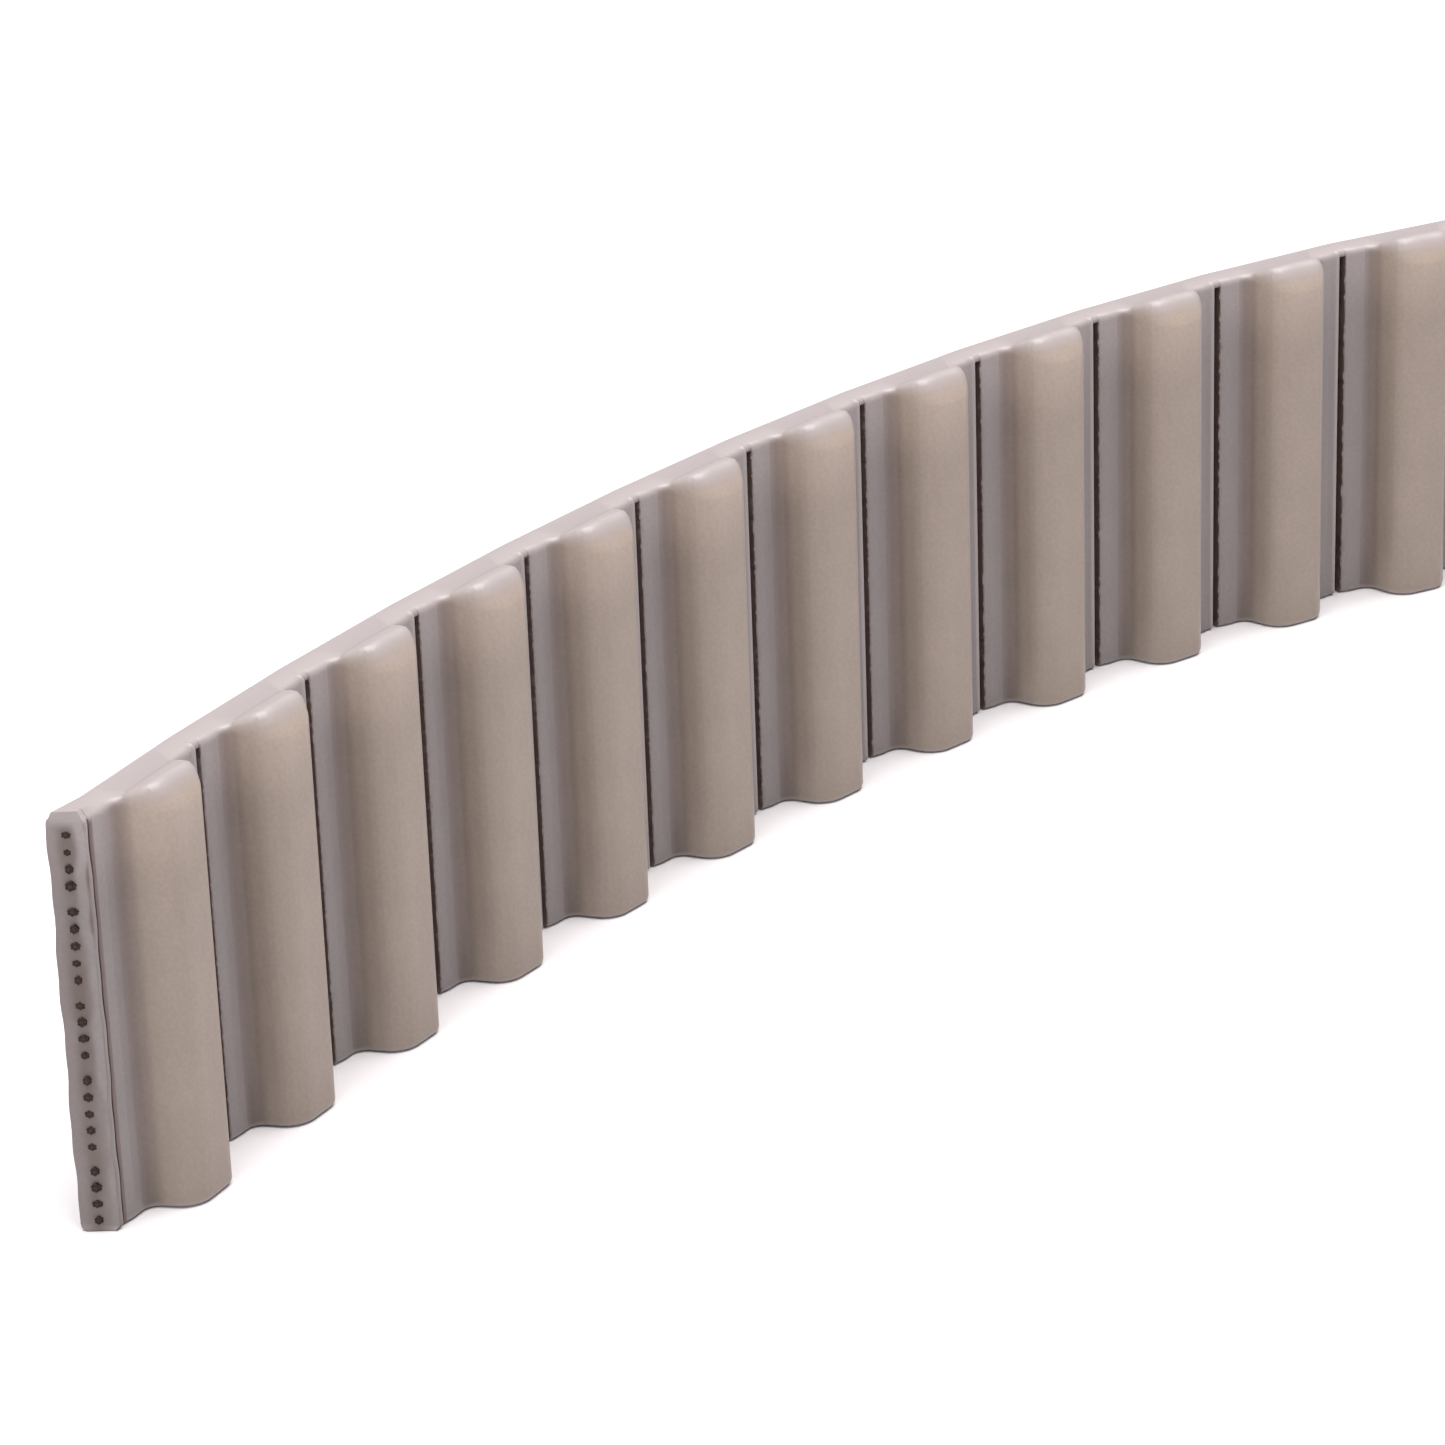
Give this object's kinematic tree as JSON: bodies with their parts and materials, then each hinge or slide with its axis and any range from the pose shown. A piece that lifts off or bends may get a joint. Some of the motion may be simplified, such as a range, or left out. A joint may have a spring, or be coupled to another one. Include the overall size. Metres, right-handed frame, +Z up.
{
  "type": "timing belt",
  "caption": "Open-ended polyurethane timing belt: moulded trapezoidal teeth on one side, flat back, square-cut ends and steel tension cords inside, curved as it stands on edge.",
  "frame": {"origin": "on the cord line under the middle of the root tooth, on the lower edge that the belt stands on", "axes": "+Z up across the belt width, +X along the belt at the root tooth towards the tightly bent end, teeth facing -Y and flat back facing +Y"},
  "size_m": [0.0684, 0.0106, 0.012],
  "materials": {
    "polyurethane": "satin",
    "steel_cord": "satin"
  },
  "bodies": {
    "tooth_01": {"belt_tooth_01": "polyurethane"},
    "tooth_02": {"belt_tooth_02": "polyurethane"},
    "tooth_03": {"belt_tooth_03": "polyurethane"},
    "tooth_04": {"belt_tooth_04": "polyurethane"},
    "tooth_05": {"belt_tooth_05": "polyurethane"},
    "tooth_06": {"belt_tooth_06": "polyurethane"},
    "tooth_07": {"belt_tooth_07": "polyurethane", "tension_cord_01": "steel_cord", "tension_cord_02": "steel_cord", "tension_cord_03": "steel_cord", "tension_cord_04": "steel_cord", "tension_cord_05": "steel_cord", "tension_cord_06": "steel_cord", "tension_cord_07": "steel_cord", "tension_cord_08": "steel_cord", "tension_cord_09": "steel_cord", "tension_cord_10": "steel_cord", "tension_cord_11": "steel_cord", "tension_cord_12": "steel_cord", "tension_cord_13": "steel_cord", "tension_cord_14": "steel_cord", "tension_cord_15": "steel_cord", "tension_cord_16": "steel_cord", "tension_cord_17": "steel_cord", "tension_cord_18": "steel_cord", "tension_cord_19": "steel_cord", "tension_cord_20": "steel_cord", "tension_cord_21": "steel_cord", "tension_cord_22": "steel_cord"},
    "tooth_08": {"belt_tooth_08": "polyurethane"},
    "tooth_09": {"belt_tooth_09": "polyurethane"},
    "tooth_10": {"belt_tooth_10": "polyurethane"},
    "tooth_11": {"belt_tooth_11": "polyurethane"},
    "tooth_12": {"belt_tooth_12": "polyurethane"},
    "tooth_13": {"belt_tooth_13": "polyurethane"},
    "tooth_14": {"belt_tooth_14": "polyurethane"}
  },
  "joints": [
    {"name": "flex_01", "type": "hinge", "parent": "tooth_02", "child": "tooth_01", "pos_m": [-0.02722, -0.00344, 0.006], "axis": [0, 0, 1], "range_deg": [-20.2, 21.8], "stiffness_Nm_per_rad": 0.01, "deforming": ["tension_cord_01", "tension_cord_02", "tension_cord_03", "tension_cord_04", "tension_cord_05", "tension_cord_06", "tension_cord_07", "tension_cord_08", "tension_cord_09", "tension_cord_10", "tension_cord_11", "tension_cord_12", "tension_cord_13", "tension_cord_14", "tension_cord_15", "tension_cord_16", "tension_cord_17", "tension_cord_18", "tension_cord_19", "tension_cord_20", "tension_cord_21", "tension_cord_22"]},
    {"name": "flex_02", "type": "hinge", "parent": "tooth_03", "child": "tooth_02", "pos_m": [-0.02234, -0.00234, 0.006], "axis": [0, 0, 1], "range_deg": [-20.3, 21.7], "stiffness_Nm_per_rad": 0.01, "deforming": ["tension_cord_01", "tension_cord_02", "tension_cord_03", "tension_cord_04", "tension_cord_05", "tension_cord_06", "tension_cord_07", "tension_cord_08", "tension_cord_09", "tension_cord_10", "tension_cord_11", "tension_cord_12", "tension_cord_13", "tension_cord_14", "tension_cord_15", "tension_cord_16", "tension_cord_17", "tension_cord_18", "tension_cord_19", "tension_cord_20", "tension_cord_21", "tension_cord_22"]},
    {"name": "flex_03", "type": "hinge", "parent": "tooth_04", "child": "tooth_03", "pos_m": [-0.01742, -0.00144, 0.006], "axis": [0, 0, 1], "range_deg": [-20.4, 21.6], "stiffness_Nm_per_rad": 0.01, "deforming": ["tension_cord_01", "tension_cord_02", "tension_cord_03", "tension_cord_04", "tension_cord_05", "tension_cord_06", "tension_cord_07", "tension_cord_08", "tension_cord_09", "tension_cord_10", "tension_cord_11", "tension_cord_12", "tension_cord_13", "tension_cord_14", "tension_cord_15", "tension_cord_16", "tension_cord_17", "tension_cord_18", "tension_cord_19", "tension_cord_20", "tension_cord_21", "tension_cord_22"]},
    {"name": "flex_04", "type": "hinge", "parent": "tooth_05", "child": "tooth_04", "pos_m": [-0.01247, -0.00074, 0.006], "axis": [0, 0, 1], "range_deg": [-20.5, 21.5], "stiffness_Nm_per_rad": 0.01, "deforming": ["tension_cord_01", "tension_cord_02", "tension_cord_03", "tension_cord_04", "tension_cord_05", "tension_cord_06", "tension_cord_07", "tension_cord_08", "tension_cord_09", "tension_cord_10", "tension_cord_11", "tension_cord_12", "tension_cord_13", "tension_cord_14", "tension_cord_15", "tension_cord_16", "tension_cord_17", "tension_cord_18", "tension_cord_19", "tension_cord_20", "tension_cord_21", "tension_cord_22"]},
    {"name": "flex_05", "type": "hinge", "parent": "tooth_06", "child": "tooth_05", "pos_m": [-0.00749, -0.00025, 0.006], "axis": [0, 0, 1], "range_deg": [-20.7, 21.3], "stiffness_Nm_per_rad": 0.01, "deforming": ["tension_cord_01", "tension_cord_02", "tension_cord_03", "tension_cord_04", "tension_cord_05", "tension_cord_06", "tension_cord_07", "tension_cord_08", "tension_cord_09", "tension_cord_10", "tension_cord_11", "tension_cord_12", "tension_cord_13", "tension_cord_14", "tension_cord_15", "tension_cord_16", "tension_cord_17", "tension_cord_18", "tension_cord_19", "tension_cord_20", "tension_cord_21", "tension_cord_22"]},
    {"name": "flex_06", "type": "hinge", "parent": "tooth_07", "child": "tooth_06", "pos_m": [-0.0025, 0, 0.006], "axis": [0, 0, 1], "range_deg": [-20.9, 21.1], "stiffness_Nm_per_rad": 0.01, "deforming": ["tension_cord_01", "tension_cord_02", "tension_cord_03", "tension_cord_04", "tension_cord_05", "tension_cord_06", "tension_cord_07", "tension_cord_08", "tension_cord_09", "tension_cord_10", "tension_cord_11", "tension_cord_12", "tension_cord_13", "tension_cord_14", "tension_cord_15", "tension_cord_16", "tension_cord_17", "tension_cord_18", "tension_cord_19", "tension_cord_20", "tension_cord_21", "tension_cord_22"]},
    {"name": "flex_07", "type": "hinge", "parent": "tooth_07", "child": "tooth_08", "pos_m": [0.0025, 0, 0.006], "axis": [0, 0, -1], "range_deg": [-21.2, 20.8], "stiffness_Nm_per_rad": 0.01, "deforming": ["tension_cord_01", "tension_cord_02", "tension_cord_03", "tension_cord_04", "tension_cord_05", "tension_cord_06", "tension_cord_07", "tension_cord_08", "tension_cord_09", "tension_cord_10", "tension_cord_11", "tension_cord_12", "tension_cord_13", "tension_cord_14", "tension_cord_15", "tension_cord_16", "tension_cord_17", "tension_cord_18", "tension_cord_19", "tension_cord_20", "tension_cord_21", "tension_cord_22"]},
    {"name": "flex_08", "type": "hinge", "parent": "tooth_08", "child": "tooth_09", "pos_m": [0.00749, -0.00028, 0.006], "axis": [0, 0, -1], "range_deg": [-21.5, 20.5], "stiffness_Nm_per_rad": 0.01, "deforming": ["tension_cord_01", "tension_cord_02", "tension_cord_03", "tension_cord_04", "tension_cord_05", "tension_cord_06", "tension_cord_07", "tension_cord_08", "tension_cord_09", "tension_cord_10", "tension_cord_11", "tension_cord_12", "tension_cord_13", "tension_cord_14", "tension_cord_15", "tension_cord_16", "tension_cord_17", "tension_cord_18", "tension_cord_19", "tension_cord_20", "tension_cord_21", "tension_cord_22"]},
    {"name": "flex_09", "type": "hinge", "parent": "tooth_09", "child": "tooth_10", "pos_m": [0.01246, -0.00086, 0.006], "axis": [0, 0, -1], "range_deg": [-21.9, 20.1], "stiffness_Nm_per_rad": 0.01, "deforming": ["tension_cord_01", "tension_cord_02", "tension_cord_03", "tension_cord_04", "tension_cord_05", "tension_cord_06", "tension_cord_07", "tension_cord_08", "tension_cord_09", "tension_cord_10", "tension_cord_11", "tension_cord_12", "tension_cord_13", "tension_cord_14", "tension_cord_15", "tension_cord_16", "tension_cord_17", "tension_cord_18", "tension_cord_19", "tension_cord_20", "tension_cord_21", "tension_cord_22"]},
    {"name": "flex_10", "type": "hinge", "parent": "tooth_10", "child": "tooth_11", "pos_m": [0.01737, -0.00178, 0.006], "axis": [0, 0, -1], "range_deg": [-22.4, 19.6], "stiffness_Nm_per_rad": 0.01, "deforming": ["tension_cord_01", "tension_cord_02", "tension_cord_03", "tension_cord_04", "tension_cord_05", "tension_cord_06", "tension_cord_07", "tension_cord_08", "tension_cord_09", "tension_cord_10", "tension_cord_11", "tension_cord_12", "tension_cord_13", "tension_cord_14", "tension_cord_15", "tension_cord_16", "tension_cord_17", "tension_cord_18", "tension_cord_19", "tension_cord_20", "tension_cord_21", "tension_cord_22"]},
    {"name": "flex_11", "type": "hinge", "parent": "tooth_11", "child": "tooth_12", "pos_m": [0.0222, -0.00308, 0.006], "axis": [0, 0, -1], "range_deg": [-22.9, 19.1], "stiffness_Nm_per_rad": 0.01, "deforming": ["tension_cord_01", "tension_cord_02", "tension_cord_03", "tension_cord_04", "tension_cord_05", "tension_cord_06", "tension_cord_07", "tension_cord_08", "tension_cord_09", "tension_cord_10", "tension_cord_11", "tension_cord_12", "tension_cord_13", "tension_cord_14", "tension_cord_15", "tension_cord_16", "tension_cord_17", "tension_cord_18", "tension_cord_19", "tension_cord_20", "tension_cord_21", "tension_cord_22"]},
    {"name": "flex_12", "type": "hinge", "parent": "tooth_12", "child": "tooth_13", "pos_m": [0.02691, -0.00478, 0.006], "axis": [0, 0, -1], "range_deg": [-23.4, 18.6], "stiffness_Nm_per_rad": 0.01, "deforming": ["tension_cord_01", "tension_cord_02", "tension_cord_03", "tension_cord_04", "tension_cord_05", "tension_cord_06", "tension_cord_07", "tension_cord_08", "tension_cord_09", "tension_cord_10", "tension_cord_11", "tension_cord_12", "tension_cord_13", "tension_cord_14", "tension_cord_15", "tension_cord_16", "tension_cord_17", "tension_cord_18", "tension_cord_19", "tension_cord_20", "tension_cord_21", "tension_cord_22"]},
    {"name": "flex_13", "type": "hinge", "parent": "tooth_13", "child": "tooth_14", "pos_m": [0.03143, -0.00691, 0.006], "axis": [0, 0, -1], "range_deg": [-24, 18], "stiffness_Nm_per_rad": 0.01, "deforming": ["tension_cord_01", "tension_cord_02", "tension_cord_03", "tension_cord_04", "tension_cord_05", "tension_cord_06", "tension_cord_07", "tension_cord_08", "tension_cord_09", "tension_cord_10", "tension_cord_11", "tension_cord_12", "tension_cord_13", "tension_cord_14", "tension_cord_15", "tension_cord_16", "tension_cord_17", "tension_cord_18", "tension_cord_19", "tension_cord_20", "tension_cord_21", "tension_cord_22"]}
  ]
}
